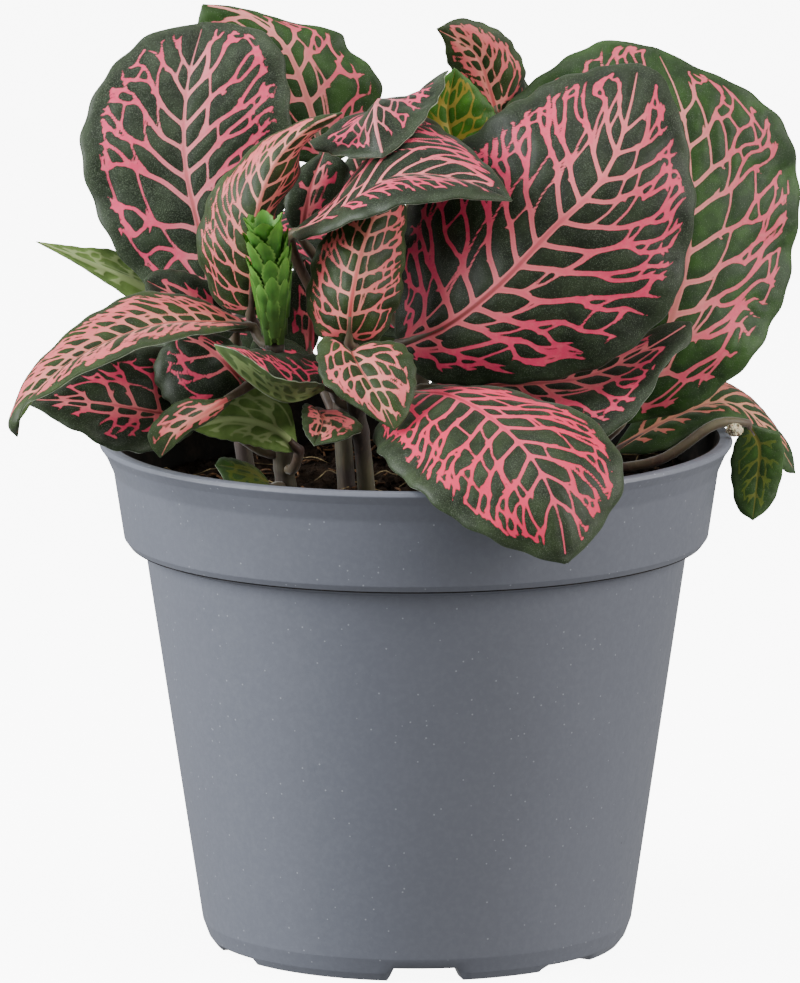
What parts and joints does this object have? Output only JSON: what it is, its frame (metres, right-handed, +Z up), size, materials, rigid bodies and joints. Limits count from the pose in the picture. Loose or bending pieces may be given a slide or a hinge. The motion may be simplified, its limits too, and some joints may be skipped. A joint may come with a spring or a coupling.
{
  "type": "potted plant",
  "caption": "Small foliage plant with pink-veined oval leaves and a green flower spike, growing in a tapered plastic nursery pot with a stepped collar.",
  "frame": {"origin": "centre of the whole plant's box on the plane the pot stands on, on the pot's axis to within a millimetre", "axes": "+Z up along the pot's axis, front of the plant towards -Y, +X to the viewer's right"},
  "size_m": [0.1484, 0.1383, 0.1764],
  "materials": {
    "pot": "matte blue-grey moulded plastic with fine light specks",
    "soil": null,
    "perlite": "dry cream crumbs",
    "stem": null,
    "old_leaf": null,
    "young_leaf": null,
    "leaf_underside": null,
    "spike": null
  },
  "bodies": {
    "root": {"pot": "pot", "soil": "soil", "stem_spike": "stem", "stem_left": "stem", "stem_center": "stem", "stem_inner": "stem", "stem_right": "stem", "stem_back_right": "stem", "stem_rear": "stem", "leaf_back_left_big": "old_leaf", "leaf_top_back": "old_leaf", "leaf_tall_left": "old_leaf", "leaf_hooded_top": "old_leaf", "leaf_center_arch": "old_leaf", "leaf_top_small": "old_leaf", "leaf_top_green": "young_leaf", "leaf_big_right": "old_leaf", "leaf_back_right_big": "old_leaf", "leaf_right_fold": "old_leaf", "leaf_front_droop": "old_leaf", "leaf_right_droop": "old_leaf", "leaf_right_hang": "young_leaf", "leaf_left_arch": "old_leaf", "leaf_left_low": "old_leaf", "leaf_folded_cup": "leaf_underside", "leaf_curled_tip": "young_leaf", "leaf_left_mid": "old_leaf", "leaf_left_fold": "young_leaf", "leaf_small_low": "young_leaf", "leaf_far_left": "leaf_underside", "leaf_inner_left": "old_leaf", "leaf_inner_mid": "old_leaf", "leaf_under_left": "old_leaf", "leaf_center_up": "young_leaf", "leaf_center_down": "young_leaf", "leaf_behind_spike": "old_leaf", "leaf_tucked_red": "old_leaf", "leaf_shade_left": "young_leaf", "leaf_rear_over_rim": "old_leaf", "leaf_rear_right_low": "old_leaf", "leaf_rear_left_low": "old_leaf", "leaf_rear_high_left": "old_leaf", "leaf_rear_high_right": "old_leaf", "leaf_rear_upright": "old_leaf", "leaf_rear_side_left": "old_leaf", "flower_spike": "spike", "bud": "young_leaf", "perlite_on_rim": "perlite", "perlite_right": "perlite", "perlite_left": "perlite"}
  },
  "joints": []
}
